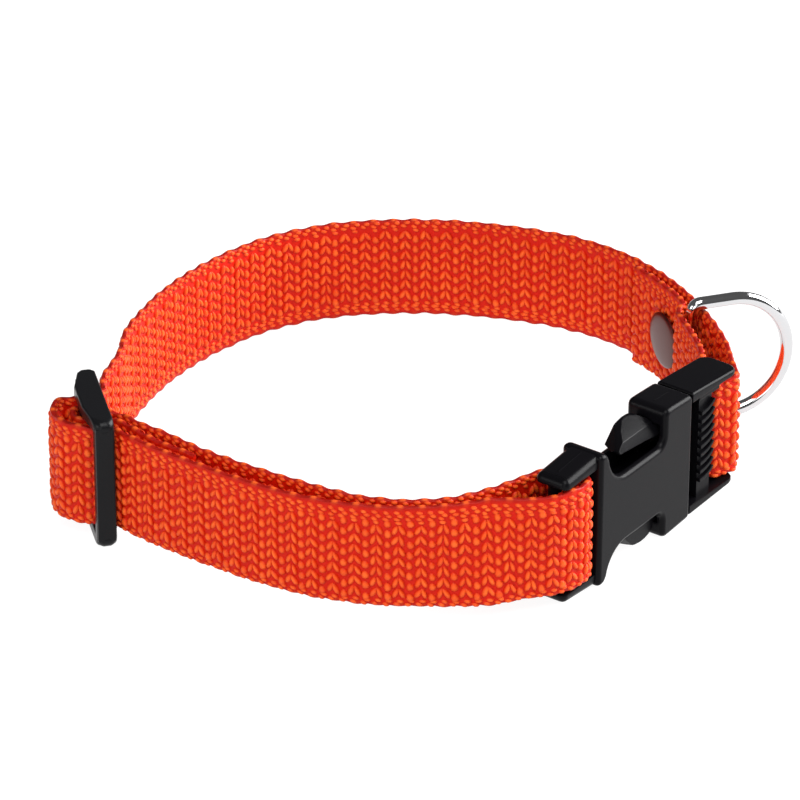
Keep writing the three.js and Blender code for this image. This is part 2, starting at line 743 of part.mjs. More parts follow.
function punchedStrap() {
  const radius = RIVET_SHANK / 2 + RIVET_GAP;
  const punch = standRivet(new THREE.CylinderGeometry(radius, radius, LAYER * 4, 20));
  return geometryOf(solid(strapGeometry()).subtract(solid(punch)));
}

const plastic = new THREE.MeshStandardMaterial({ color: 0x161718, roughness: 0.42, metalness: 0 });
const webbing = new THREE.MeshStandardMaterial({ color: 0xe23a12, roughness: 0.6, metalness: 0 });
const steel = new THREE.MeshStandardMaterial({ color: 0xd6d7d9, roughness: 0.12, metalness: 1 });
const nickel = new THREE.MeshStandardMaterial({ color: 0x9c9893, roughness: 0.4, metalness: 1 });

function namedMesh(name, geometry, material) {
  const mesh = new THREE.Mesh(geometry, material);
  mesh.name = name;
  return mesh;
}

function inFrame(mesh, frame, height, tilt = 0) {
  mesh.position.set(frame.at[0], frame.at[1], height);
  mesh.rotation.set(0, THREE.MathUtils.degToRad(tilt), frame.angle, "ZYX");
  return mesh;
}

function placedRing() {
  const ring = namedMesh("d_ring", ringGeometry(), steel);
  const at = beside(backCurve, RING_ALONG, BESIDE + WIRE / 2);
  const tangent = backCurve.getTangentAt(RING_ALONG / backCurve.getLength());
  ring.position.set(at[0], at[1], strapFoot(...at) + WEB_WIDTH / 2);
  const outward = Math.atan2(-tangent.x, tangent.y);
  ring.rotation.z = outward + THREE.MathUtils.degToRad(RING_TURN);
  return ring;
}

const collar = new THREE.Group();
collar.add(namedMesh("strap", punchedStrap(), webbing));
const socket = namedMesh("buckle_socket", socketGeometry(), plastic);
const plug = namedMesh("buckle_plug", plugGeometry(), plastic);
const slider = namedMesh("slider", sliderGeometry(), plastic);
collar.add(inFrame(socket, socketFrame, BUCKLE_WIDTH / 2, BUCKLE_TILT));
collar.add(inFrame(plug, socketFrame, BUCKLE_WIDTH / 2, BUCKLE_TILT));
collar.add(inFrame(slider, sliderFrame, SLIDER_WIDTH / 2));
collar.add(placedRing());
collar.add(namedMesh("rivet", standRivet(rivetGeometry()), nickel));

// The middle of the bounding box's bottom goes to the origin.
collar.updateMatrixWorld(true);
const box = new THREE.Box3().setFromObject(collar, true);
const middle = box.getCenter(new THREE.Vector3());
const part = new THREE.Group();
collar.position.set(-middle.x, -middle.y, -box.min.z);
part.add(collar);

export default part;
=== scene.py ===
# %% [markdown]
# # A fastened dog collar, made piece by piece
# The collar is one long strap of coarse orange webbing, folded through a side-release buckle, a
# slider and a D-ring, with a rivet through the fold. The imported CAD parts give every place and
# size. This lesson makes the looks around them: the woven surface, the rounded plastic, the
# polished ring and the studio. Every CAD part is replaced by a finer piece in the same place,
# because each has rounded or woven forms that its solid leaves out.

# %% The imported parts
import json
import math

import bmesh
import bpy
import numpy as np
from mathutils import Matrix, Vector


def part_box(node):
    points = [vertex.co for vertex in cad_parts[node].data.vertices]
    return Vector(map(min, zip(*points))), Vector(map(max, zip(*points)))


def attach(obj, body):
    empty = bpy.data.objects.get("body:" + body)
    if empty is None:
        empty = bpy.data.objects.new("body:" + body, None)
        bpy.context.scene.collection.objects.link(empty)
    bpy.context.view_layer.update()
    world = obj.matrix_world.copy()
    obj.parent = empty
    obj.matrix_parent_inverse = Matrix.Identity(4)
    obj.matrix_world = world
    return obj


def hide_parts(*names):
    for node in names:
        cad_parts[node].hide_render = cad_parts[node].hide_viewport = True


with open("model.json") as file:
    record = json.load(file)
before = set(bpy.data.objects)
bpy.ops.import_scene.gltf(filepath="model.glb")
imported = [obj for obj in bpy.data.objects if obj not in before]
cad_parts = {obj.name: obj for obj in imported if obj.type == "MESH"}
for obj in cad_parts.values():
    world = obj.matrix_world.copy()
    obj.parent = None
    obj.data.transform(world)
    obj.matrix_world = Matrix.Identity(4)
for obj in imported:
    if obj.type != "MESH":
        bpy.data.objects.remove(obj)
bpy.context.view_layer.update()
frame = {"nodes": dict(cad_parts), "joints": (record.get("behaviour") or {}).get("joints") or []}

MM = 0.001
SEED = 7

# %% [markdown]
# ## Helpers
# The pieces are modelled as by hand: a primitive is added, its faces or edges are picked by
# their place, and an edit-mode operator or a modifier shapes them. A few helpers keep those
# steps short. Sizes are in millimetres until they reach Blender, which works in metres.

# %% Pick an object, or parts of its mesh
def select_only(piece):
    """Leaves one object selected and active."""
    bpy.ops.object.select_all(action="DESELECT")
    piece.select_set(True)
    bpy.context.view_layer.objects.active = piece


def named(name):
    """The object that was just added, with its name."""
    piece = bpy.context.active_object
    piece.name = name
    piece.data.name = name
    return piece


def select_where(piece, kind, test):
    """In edit mode: selects the vertices, edges or faces whose middle passes a test, in mm."""
    bpy.ops.mesh.select_mode(type=kind)
    bpy.ops.mesh.select_all(action="DESELECT")
    mesh = bmesh.from_edit_mesh(piece.data)
    parts = {"VERT": mesh.verts, "EDGE": mesh.edges, "FACE": mesh.faces}[kind]
    for part in parts:
        corners = [part.co] if kind == "VERT" else [v.co for v in part.verts]
        middle = sum(corners, Vector()) / len(corners) / MM
        part.select_set(bool(test(part, middle)))
    mesh.select_flush_mode()
    bmesh.update_edit_mesh(piece.data)


# %% Starting shapes: a block, and a plate with a drawn outline
def block(name, along, through, height):
    """A block between two places, in mm, on each of its own three axes."""
    bpy.ops.object.select_all(action="DESELECT")
    spans = (along, through, height)
    middle = [(low + high) / 2 * MM for low, high in spans]
    size = [(high - low) * MM for low, high in spans]
    bpy.ops.mesh.primitive_cube_add(size=1, location=middle, scale=size)
    bpy.ops.object.transform_apply(location=True, rotation=True, scale=True)
    return named(name)


def outline_plate(name, points, low, high, upright=False):
    """A plate with a drawn outline: a filled circle's corners moved to the points, extruded.

    The points are along and height, and the plate runs through the buckle; an upright plate's
    points are along and through, and it runs in height."""
    bpy.ops.object.select_all(action="DESELECT")
    bpy.ops.mesh.primitive_circle_add(vertices=len(points), radius=1, fill_type="NGON")
    plate = named(name)
    for corner, (first, second) in zip(plate.data.vertices, points):
        where = (first, second, low) if upright else (first, low, second)
        corner.co = Vector(where) * MM
    move = (0, 0, high - low) if upright else (0, high - low, 0)
    bpy.ops.object.mode_set(mode="EDIT")
    bpy.ops.mesh.select_all(action="SELECT")
    bpy.ops.mesh.extrude_region_move(TRANSFORM_OT_translate={"value": Vector(move) * MM})
    bpy.ops.mesh.select_all(action="SELECT")
    bpy.ops.mesh.normals_make_consistent(inside=False)
    bpy.ops.object.mode_set(mode="OBJECT")
    return plate


# %% Modifiers, joining and shading
def apply_modifier(piece, kind, **values):
    """Adds one modifier, sets its values and applies it."""
    select_only(piece)
    bpy.ops.object.modifier_add(type=kind)
    modifier = piece.modifiers[-1]
    for name, value in values.items():
        setattr(modifier, name, value)
    bpy.ops.object.modifier_apply(modifier=modifier.name)


def round_edges(piece, width, segments=3, angle=35):
    """Rounds every edge sharper than an angle, in degrees. The width is in mm."""
    apply_modifier(
        piece, "BEVEL", width=width * MM, segments=segments, limit_method="ANGLE",
        angle_limit=math.radians(angle), miter_outer="MITER_ARC", use_clamp_overlap=True,
    )


def cut_away(piece, cutter):
    """Cuts one solid out of another with a boolean."""
    apply_modifier(piece, "BOOLEAN", object=cutter, operation="DIFFERENCE", solver="EXACT")
    bpy.data.objects.remove(cutter)


def joined(name, pieces):
    """Several objects as one, named after the part that they make."""
    bpy.ops.object.select_all(action="DESELECT")
    for piece in pieces:
        piece.select_set(True)
    bpy.context.view_layer.objects.active = pieces[0]
    bpy.ops.object.join()
    return named(name)


def smooth(piece, angle=40):
    """Smooth shading, with creases where faces meet at more than an angle in degrees."""
    select_only(piece)
    bpy.ops.object.shade_smooth_by_angle(angle=math.radians(angle))


def smooth_moulded(piece):
    """Smooth shading for a moulded part: its rims are round and its flat faces stay flat."""
    smooth(piece, 35)
    apply_modifier(piece, "WEIGHTED_NORMAL", keep_sharp=True, weight=100)


# %% From a piece's own frame to its place in the collar
def turn_mesh(piece, axis, degrees):
    """Turns a piece about an axis through its own origin."""
    piece.data.transform(Matrix.Rotation(math.radians(degrees), 4, axis))


def place(piece, at, turn, tilt=0):
    """Moves a piece from its own frame to its place in the collar: a point in mm and degrees."""
    piece.matrix_world = (
        Matrix.Translation(Vector(at) * MM)
        @ Matrix.Rotation(math.radians(turn), 4, "Z")
        @ Matrix.Rotation(math.radians(tilt), 4, "Y")
    )
    select_only(piece)
    bpy.ops.object.transform_apply(location=True, rotation=True, scale=True)


def hand_over(piece, node, body, material):
    """Lets a finished piece stand for a CAD part, with its body and material."""
    piece.data.materials.clear()
    piece.data.materials.append(material)
    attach(piece, body)
    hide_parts(node)
    triangles = sum(len(face.vertices) - 2 for face in piece.data.polygons)
    print(f"{piece.name}: {triangles} triangles")


# %% Points for drawn outlines
def arc(along, height, radius_along, radius_height, start, end, steps):
    """Points round part of an ellipse, from one angle in degrees to another."""
    angles = [math.radians(start + (end - start) * i / steps) for i in range(steps + 1)]
    return [
        (along + radius_along * math.cos(a), height + radius_height * math.sin(a))
        for a in angles
    ]


def with_mirror(points):
    """Points above the middle and the same points mirrored below it."""
    return points + [(along, -height) for along, height in reversed(points)]


print("a quarter circle:", [(round(a, 2), round(b, 2)) for a, b in arc(0, 0, 1, 1, 0, 90, 3)])

# %% [markdown]
# ## The line of the strap
# Webbing is flat and follows one line through every fold. It could be simulated as cloth, but
# nothing pulls on it here, and its folds are already in the CAD strap. That strap has a narrow
# lower and a narrow upper face along its whole length. Walking from face to face along each
# gives its two edges, and the weave is laid between them. It then follows the CAD part at every
# bar, and leans where it leans.

# %% Walk along the strap's edges
WEB_WIDTH = 25.0
LINE_STEP = 0.25  # between points of the resampled line, in mm
LINE_BLUR = 2  # neighbours on each side that a point is averaged with


def strap_edge(side):
    """The middle line of the strap's lower (-1) or upper (1) face, from the riveted end on."""
    mesh = bmesh.new()
    mesh.from_mesh(frame["nodes"]["strap"].data)
    bmesh.ops.remove_doubles(mesh, verts=mesh.verts, dist=1e-6)
    low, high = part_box("strap")
    middle = (low.z + high.z) / 2
    beyond = WEB_WIDTH / 4 * MM
    strip = {
        face
        for face in mesh.faces
        if all((corner.co.z - middle) * side > beyond for corner in face.verts)
    }

    def shared(face):
        return [edge for edge in face.edges if all(f in strip for f in edge.link_faces)]

    ends = [face for face in strip if len(shared(face)) == 1]
    face = max(ends, key=lambda f: f.calc_center_median().x)
    came_by = None
    points = []
    while True:
        onward = [edge for edge in shared(face) if edge is not came_by]
        if not onward:
            break
        came_by = onward[0]
        points.append((came_by.verts[0].co + came_by.verts[1].co) / 2)
        face = next(f for f in came_by.link_faces if f is not face)
    points = [2 * points[0] - points[1], *points, 2 * points[-1] - points[-2]]
    mesh.free()
    return np.array(points) / MM


lower_edge, upper_edge = strap_edge(-1), strap_edge(1)
middle_line = (lower_edge + upper_edge) / 2
steps = np.linalg.norm(np.diff(middle_line[:, :2], axis=0), axis=1)
run = np.concatenate([[0], np.cumsum(steps)])
STRAP_LENGTH = run[-1]
print("strap:", len(run), "points,", round(STRAP_LENGTH, 1), "mm long")

# %% Even out the line, and lay straight things along it
spots = np.linspace(0, STRAP_LENGTH, int(STRAP_LENGTH / LINE_STEP) + 1)


def evened(line):
    """A line at even spots along the strap, each point averaged with its neighbours."""
    even = np.stack([np.interp(spots, run, line[:, k]) for k in range(3)], 1)
    padded = np.pad(even, ((LINE_BLUR, LINE_BLUR), (0, 0)), mode="reflect", reflect_type="odd")
    window = range(2 * LINE_BLUR + 1)
    return sum(padded[k : k + len(even)] for k in window) / len(window)


lower_line, upper_line = evened(lower_edge), evened(upper_edge)
ahead = np.gradient((lower_line + upper_line) / 2, axis=0)[:, :2]
ahead /= np.linalg.norm(ahead, axis=1)[:, None]
outward = np.stack([ahead[:, 1], -ahead[:, 0], np.zeros(len(ahead))], 1)


def at_spot(line, along):
    """The line's values at places along the strap."""
    return np.stack([np.interp(along, spots, line[:, k]) for k in range(3)], 1)


def laid(points):
    """Points of a straight strap (along, out, height, in mm) moved onto the real one."""
    along, out, height = points.T
    low, high = at_spot(lower_line, along), at_spot(upper_line, along)
    share = (height / WEB_WIDTH)[:, None]
    return low + (high - low) * share + at_spot(outward, along) * out[:, None]


print("the line has", len(spots), "even spots")

# %% [markdown]
# ## The webbing
# Both faces are a coarse weave. Columns of bell shapes, each of two floats that lean together,
# alternate with columns of round floats that lie a little lower, and rows of fine flecks run
# along both edges. A displaced grid fine enough for round floats would need some three million
# triangles. So each kind of float is modelled once, as a low dome of 25 faces, and copied in rows
# and columns over a plain band.

# %% One dome for each kind of float
BAND_THICK = 1.25
FLOAT_BASE = 0.42  # from the middle of the webbing to the floats' flat backs
COLUMN_PITCH = 2.35
ROW_PITCH = 2.6
ROW_COUNT = 7
FIRST_OUTSIDE = 3.6  # heights of the lowest bells, outside and inside
FIRST_INSIDE = 5.4


def float_dome(name, width, length, rise, taper=0.0, turn=0.0):
    """A low dome in mm. Its length runs up the webbing; taper narrows its top."""
    bpy.ops.object.select_all(action="DESELECT")
    bpy.ops.mesh.primitive_uv_sphere_add(segments=8, ring_count=6, radius=1)
    dome = named(name)
    bpy.ops.object.mode_set(mode="EDIT")
    bpy.ops.mesh.select_all(action="SELECT")
    bpy.ops.mesh.bisect(
        plane_co=(0, 0, 0), plane_no=(0, 0, 1), use_fill=True, clear_inner=True,
        threshold=0.01,
    )
    bpy.ops.object.mode_set(mode="OBJECT")
    shape = np.array([v.co for v in dome.data.vertices])
    shape[:, 0] *= (1 - taper * shape[:, 1]) * width / 2
    shape[:, 1] *= length / 2
    shape[:, 2] *= rise
    angle = math.radians(turn)
    x, y = shape[:, 0].copy(), shape[:, 1].copy()
    shape[:, 0] = x * math.cos(angle) - y * math.sin(angle)
    shape[:, 1] = x * math.sin(angle) + y * math.cos(angle)
    faces = [list(face.vertices) for face in dome.data.polygons]
    bpy.data.objects.remove(dome)
    return shape, faces


LEFT_LEG = float_dome("left_leg", 1.35, 2.8, 0.74, taper=0.1, turn=-23)
RIGHT_LEG = float_dome("right_leg", 1.15, 3.1, 0.74, taper=0.2, turn=26)
ROUND = float_dome("round_float", 1.75, 2.3, 0.7, taper=0.25, turn=14)
EDGE_FLECK = float_dome("edge_fleck", 1.75, 1.05, 0.5, turn=-16)
print("a float has", len(ROUND[1]), "faces")

# %% Where each float goes, for one pair of columns
# Every entry is a dome, the face it is on (1 outside, -1 inside), and its place in mm: along
# from the pair's first column, and height. Seen from inside the strap runs the other way.
ROUND_LOWER = 0.39 * ROW_PITCH
LEG_APART = 0.64  # from the middle of a bell to each of its legs
LOW_FLECKS = (0.8, 1.6)
HIGH_FLECKS = (21.8, 22.6, 23.4)
FLECK_SHIFT = 0.35  # rows of flecks lie this much back and this much further, by turns
INSIDE_LOW_FLECK = 2.5  # heights of the flecks next to the bells and the round floats
OUTSIDE_TOP_FLECK = 21.0
INSIDE_TOP_FLECK = 22.5
BLOCKS = []
for row in range(ROW_COUNT):
    outside = FIRST_OUTSIDE + row * ROW_PITCH
    inside = FIRST_INSIDE + row * ROW_PITCH
    BLOCKS += [
        (LEFT_LEG, 1, -LEG_APART, outside),
        (RIGHT_LEG, 1, LEG_APART, outside),
        (ROUND, 1, COLUMN_PITCH, outside + ROW_PITCH - ROUND_LOWER),
        (LEFT_LEG, -1, COLUMN_PITCH + LEG_APART, inside),
        (RIGHT_LEG, -1, COLUMN_PITCH - LEG_APART, inside),
        (ROUND, -1, 0, inside - ROUND_LOWER),
    ]
for column in (0, COLUMN_PITCH):
    for order, height in enumerate(LOW_FLECKS + HIGH_FLECKS):
        shift = FLECK_SHIFT if order % 2 else -FLECK_SHIFT
        BLOCKS.append((EDGE_FLECK, 1, column + shift, height))
        BLOCKS.append((EDGE_FLECK, -1, column + shift, WEB_WIDTH - height))
    BLOCKS.append((EDGE_FLECK, -1, column, INSIDE_LOW_FLECK))
BLOCKS.append((ROUND, 1, COLUMN_PITCH, FIRST_OUTSIDE - ROUND_LOWER))
BLOCKS.append((EDGE_FLECK, 1, 0, OUTSIDE_TOP_FLECK))
BLOCKS.append((EDGE_FLECK, -1, 0, INSIDE_TOP_FLECK))
print(len(BLOCKS), "floats on one pair of columns")

# %% [markdown]
# ## The band under the floats
# Between the floats one sees the threads below, as a smooth red ground. A tube as long as one
# pair of columns is cut finely and repeated with an array, which keeps its faces even and its
# ends easy to close. It is bent onto the strap's line afterwards, so it needs no curve modifier.

# %% The band, one stretch of the strap at a time
PAIR = 2 * COLUMN_PITCH
pair_count = round(STRAP_LENGTH / PAIR)
PAIR_EXACT = STRAP_LENGTH / pair_count
BAND_CUTS = 7  # along one pair of columns
BAND_ROWS = 26
BAND_ROUNDING = 0.4  # of its four long corners
print("pairs of columns:", pair_count, "of", round(PAIR_EXACT, 3), "mm")


def band(name, first_pair, last_pair):
    """The plain band under the floats: one pair's tube, repeated, closed at both ends."""
    half = BAND_THICK / 2
    start = first_pair * PAIR_EXACT
    tile = block(name, (start, start + PAIR_EXACT), (-half, half), (0, WEB_WIDTH))
    bpy.ops.object.mode_set(mode="EDIT")
    ends = (start, start + PAIR_EXACT)
    select_where(tile, "FACE", lambda f, m: min(abs(m.x - e) for e in ends) < 0.01)
    bpy.ops.mesh.delete(type="FACE")
    select_where(tile, "EDGE", lambda e, m: 0.1 < m.x - start < PAIR_EXACT - 0.1)
    bpy.ops.mesh.bevel(offset=BAND_ROUNDING * MM, segments=2)
    select_where(tile, "EDGE", lambda e, m: 0.1 < m.x - start < PAIR_EXACT - 0.1)
    bpy.ops.mesh.subdivide(number_cuts=BAND_CUTS)
    long_way = WEB_WIDTH / 2 * MM
    select_where(tile, "EDGE", lambda e, m: e.calc_length() > long_way)
    bpy.ops.mesh.subdivide(number_cuts=BAND_ROWS)
    bpy.ops.object.mode_set(mode="OBJECT")
    apply_modifier(
        tile, "ARRAY", count=last_pair - first_pair, use_relative_offset=False,
        use_constant_offset=True, constant_offset_displace=(PAIR_EXACT * MM, 0, 0),
        use_merge_vertices=True, merge_threshold=0.01 * MM,
    )
    bpy.ops.object.mode_set(mode="EDIT")
    bpy.ops.mesh.select_all(action="SELECT")
    bpy.ops.mesh.fill_holes(sides=0)
    bpy.ops.object.mode_set(mode="OBJECT")
    return tile


# %% [markdown]
# ## Where the band swells
# Real webbing is thickest under its floats, and where its cross threads turn round the edge it
# ripples, once for each pair of columns. Both are smooth waves along the strap, so plain cosines
# move the band's vertices, and a slow wander keeps the edges from looking ruled.

# %% The waves
EDGE_START = 11.2  # from the middle of the webbing to where its edges begin
RIPPLE_DEPTH = 0.34
WANDER = 0.08  # how far the edges stray, in mm
COLUMN_SWELL = 0.28  # share of its thickness that the band loses between columns
EDGE_SWELL = 0.2  # the same for its edges between ripples


def edge_share(height):
    """0 on the faces of the webbing, 1 on its two narrow edges."""
    from_middle = np.abs(height - WEB_WIDTH / 2)
    return np.clip((from_middle - EDGE_START) / (WEB_WIDTH / 2 - EDGE_START), 0, 1)


def ripple(along):
    """A wave along the edges, one for each pair of columns: 1 on its tops, 0 between them."""
    return 0.5 + 0.5 * np.cos(2 * math.pi * (along / PAIR_EXACT - 0.3))


def swollen(points):
    """The band swells under each column. Its two edges ripple once for each pair of columns."""
    along, out, height = points.T.copy()
    column = 0.5 + 0.5 * np.cos(2 * math.pi * (along / (PAIR_EXACT / 2) - 0.5))
    wander = WANDER * np.sin(along * 0.9 + 2 * np.sin(along * 0.23))
    edge = edge_share(height)
    side = np.sign(height - WEB_WIDTH / 2)
    height += side * edge * (RIPPLE_DEPTH * (ripple(along) - 1) - WANDER + wander)
    thinner = COLUMN_SWELL * (1 - column) * (1 - edge) + EDGE_SWELL * (1 - ripple(along)) * edge
    out *= 1 - thinner
    return np.stack([along, out, height], 1)


print("the ripples are", round(PAIR_EXACT, 2), "mm apart and", RIPPLE_DEPTH, "mm deep")

# %% [markdown]
# ## Laying the floats
# Nearly nine thousand floats would be slow as objects, and instances can't follow the folds. So
# numpy repeats each kind's few vertices at every place, with a small seeded change of size, turn,
# place and strength of painted highlight, and the whole sheet of floats is bent onto the strap at
# once.

# %% All floats of a stretch
# The painted highlight: a lighter colour that stands in for light on the top of each float.
HIGHLIGHT_POWER = 1.7  # how small the painted highlight on a float's top is
SIZE_SPREAD = 0.05
TURN_SPREAD = 5  # degrees
ALONG_SPREAD = 0.05
HEIGHT_SPREAD = 0.06
HIGHLIGHT_STRENGTHS = (0.6, 1.0)  # painted highlight on the tops of the dullest and the brightest float
chance = np.random.default_rng(SEED)


def floats(first_pair, last_pair):
    """All floats of a stretch: vertices, faces and each vertex's painted highlight, strongest at
    the top.
    """
    points, faces, painted_highlights = [], [], []
    total = 0
    for shape, shape_faces in {id(b[0]): b[0] for b in BLOCKS}.values():
        kinds = [b for b in BLOCKS if b[0][0] is shape]
        pairs = np.arange(first_pair, last_pair)
        sides = np.tile([b[1] for b in kinds], len(pairs))
        along = (pairs[:, None] * PAIR_EXACT + [b[2] + COLUMN_PITCH / 2 for b in kinds]).ravel()
        height = np.tile([b[3] for b in kinds], len(pairs))
        count = len(along)
        size = 1 + chance.normal(0, SIZE_SPREAD, (count, 3))
        swing = chance.normal(0, math.radians(TURN_SPREAD), count)
        along = along + chance.normal(0, ALONG_SPREAD, count)
        height = height + chance.normal(0, HEIGHT_SPREAD, count)
        each = shape[None] * size[:, None]
        cos, sin = np.cos(swing)[:, None], np.sin(swing)[:, None]
        x = each[..., 0] * cos - each[..., 1] * sin
        y = each[..., 0] * sin + each[..., 1] * cos
        place_along = along[:, None] + x * sides[:, None]
        place_out = (FLOAT_BASE + each[..., 2]) * sides[:, None]
        place_height = height[:, None] + y
        points.append(np.stack([place_along, place_out, place_height], -1).reshape(-1, 3))
        highlight_strength = chance.uniform(*HIGHLIGHT_STRENGTHS, count)[:, None]
        share = np.clip(shape[None, :, 2] / shape[:, 2].max(), 0, 1)
        painted_highlights.append((highlight_strength * share**HIGHLIGHT_POWER).ravel())
        per = len(shape)
        faces += [[i + total + per * k for i in f] for k in range(count) for f in shape_faces]
        total += count * per
    return np.concatenate(points), faces, np.concatenate(painted_highlights)


print("floats on the whole strap:", len(BLOCKS) * pair_count)


# %% One finished stretch of webbing, with its painted highlight and painted edge shade on each vertex
RIPPLE_HIGHLIGHT_SHARE = 0.93  # how near the top of an edge ripple its painted highlight begins
# strength of the painted highlight on the ripple tops
RIPPLE_HIGHLIGHT_STRENGTH = 0.6
FLECK_EDGE_SHADE = 0.7  # how much of the edges' painted shade the flecks there take


def add_values(mesh, name, values):
    """Stores one number for each vertex of a mesh, for its material to read."""
    attribute = mesh.attributes.new(name, "FLOAT", "POINT")
    attribute.data.foreach_set("value", values.astype(np.float32))


def stretch(name, first_pair, last_pair):
    """One finished stretch of webbing, from one pair of columns to another."""
    piece = band(name, first_pair, last_pair)
    straight = np.array([v.co for v in piece.data.vertices]) / MM
    shaped = laid(swollen(straight)) * MM
    piece.data.vertices.foreach_set("co", shaped.ravel())
    # Painted highlight on the tops of the ripples along the edges.
    on_ripple = ripple(straight[:, 0]) > RIPPLE_HIGHLIGHT_SHARE
    add_values(piece.data, "painted_highlight", on_ripple * edge_share(straight[:, 2]) ** 4 * RIPPLE_HIGHLIGHT_STRENGTH)
    # Painted shade on the two edges of the band.
    add_values(piece.data, "edge", edge_share(straight[:, 2]) ** 2)
    points, faces, painted_highlights = floats(first_pair, last_pair)
    mesh = bpy.data.meshes.new(name + "_floats")
    mesh.from_pydata((laid(points) * MM).tolist(), [], faces)
    # The floats' painted highlight, strongest on their tops.
    add_values(mesh, "painted_highlight", painted_highlights)
    # Painted shade on the flecks along the edges.
    add_values(mesh, "edge", edge_share(points[:, 2]) ** 2 * FLECK_EDGE_SHADE)
    woven = bpy.data.objects.new(name + "_floats", mesh)
    bpy.context.scene.collection.objects.link(woven)
    whole = joined(name, [piece, woven])
    bpy.ops.object.mode_set(mode="EDIT")
    bpy.ops.mesh.select_all(action="SELECT")
    bpy.ops.mesh.normals_make_consistent(inside=False)
    bpy.ops.object.mode_set(mode="OBJECT")
    smooth(whole, 60)
    return whole


# %% [markdown]
# ## The webbing's colour
# The threads are dyed one orange-red, which shows as the deep red between the floats. The lighter
# orange on the tops of the floats and of the ripples along the edges is a painted highlight, and
# the dark red where the threads turn round the edges is painted shade. A picture could hold this,
# but it would have to be unwrapped along every fold. The modelling knows where each top is, so it
# has left two numbers on every vertex, and the material mixes its three colours by them.

# %% Helpers for materials
def new_material(name, colour, roughness, metallic=0.0, specular=0.5):
    """A material and its shader node."""
    material = bpy.data.materials.new(name)
    material.use_nodes = True
    shader = material.node_tree.nodes["Principled BSDF"]
    shader.inputs["Base Color"].default_value = colour
    shader.inputs["Roughness"].default_value = roughness
    shader.inputs["Metallic"].default_value = metallic
    shader.inputs["Specular IOR Level"].default_value = specular
    return material, shader


def add_grain(material, shader, size, depth):
    """A fine bump of noise. Size and depth are in mm."""
    tree = material.node_tree
    coordinates = tree.nodes.new("ShaderNodeTexCoord")
    noise = tree.nodes.new("ShaderNodeTexNoise")
    noise.inputs["Scale"].default_value = 1 / (size * MM)
    noise.inputs["Detail"].default_value = 2
    bump = tree.nodes.new("ShaderNodeBump")
    bump.inputs["Distance"].default_value = depth * MM
    tree.links.new(coordinates.outputs["Object"], noise.inputs["Vector"])
    tree.links.new(noise.outputs["Fac"], bump.inputs["Height"])
    tree.links.new(bump.outputs["Normal"], shader.inputs["Normal"])


def mixed_by(material, value_name, low_colour, high_colour):
    """A node that mixes two colours by a number that every vertex carries."""
    nodes = material.node_tree.nodes
    value = nodes.new("ShaderNodeAttribute")
    value.attribute_name = value_name
    mix = nodes.new("ShaderNodeMix")
    mix.data_type = "RGBA"
    mix.inputs["A"].default_value = low_colour
    mix.inputs["B"].default_value = high_colour
    material.node_tree.links.new(value.outputs["Fac"], mix.inputs["Factor"])
    return mix


# %% The webbing's material
# The gap colour is the dye. The highlight colour is a painted highlight on the tops of floats and
# ripples.
GAP_COLOUR = (0.55, 0.009, 0.001, 1)
HIGHLIGHT_COLOUR = (0.84, 0.130, 0.018, 1)
# The edge shade colour is painted shade on the two edges.
EDGE_SHADE_COLOUR = (0.26, 0.007, 0.004, 1)
webbing, webbing_shader = new_material("webbing", HIGHLIGHT_COLOUR, 0.4, specular=0.12)
highlight_mix = mixed_by(webbing, "painted_highlight", GAP_COLOUR, HIGHLIGHT_COLOUR)
edge_shade_mix = mixed_by(webbing, "edge", GAP_COLOUR, EDGE_SHADE_COLOUR)
webbing_links = webbing.node_tree.links
webbing_links.new(edge_shade_mix.outputs["Result"], highlight_mix.inputs["A"])
webbing_links.new(highlight_mix.outputs["Result"], webbing_shader.inputs["Base Color"])
add_grain(webbing, webbing_shader, 0.22, 0.05)
print(webbing.name, "has", len(webbing.node_tree.nodes), "nodes")

# %% [markdown]
# ## Plastic and metal
# The buckle is black moulded plastic with a satin finish, and the slider is a little paler. Both
# have a very fine speckle, which a low bump of noise gives without any picture. The ring is
# polished plate: a low roughness and bright things to reflect are all it needs. The rivet is a
# darker, duller nickel with a fine grain, and its colour is tinted orange-red as a painted
# reflection of the strap.

# %% Materials of the fittings
PLASTIC_COLOUR = (0.0028, 0.0026, 0.0034, 1)
SLIDER_COLOUR = (0.0058, 0.0058, 0.0068, 1)
PLATE_COLOUR = (0.62, 0.62, 0.63, 1)
# The nickel is tinted orange-red: a painted reflection of the strap.
NICKEL_AND_REFLECTION_COLOUR = (0.105, 0.047, 0.043, 1)
plastic, plastic_shader = new_material("black_plastic", PLASTIC_COLOUR, 0.3, specular=0.075)
add_grain(plastic, plastic_shader, 0.22, 0.02)
slider_plastic, slider_shader = new_material("slider_plastic", SLIDER_COLOUR, 0.3, specular=0.13)
add_grain(slider_plastic, slider_shader, 0.22, 0.02)
steel = new_material("polished_plate", PLATE_COLOUR, 0.08, 1.0)[0]
nickel, nickel_shader = new_material("brushed_nickel", NICKEL_AND_REFLECTION_COLOUR, 0.3, 1.0)
add_grain(nickel, nickel_shader, 0.18, 0.02)
print("fittings:", [finish.name for finish in (plastic, slider_plastic, steel, nickel)])

# %% [markdown]
# ## The strap in five stretches
# As one mesh the strap would have half a million triangles, which is too many for one piece. It
# is cut between pairs of columns, where the cuts don't show, and its five stretches together
# stand for the CAD strap.

# %% The webbing's stretches
STRETCH_ENDS = [0, 0.17, 0.40, 0.56, 0.77, 1]  # shares of the strap's length
STRETCH_NAMES = ["webbing_fold", "webbing_back", "webbing_slider", "webbing_front", "webbing_inner"]
cuts = [round(share * pair_count) for share in STRETCH_ENDS]
for name, first, last in zip(STRETCH_NAMES, cuts, cuts[1:]):
    piece = stretch(name, first, last)
    hand_over(piece, "strap", "collar", webbing)

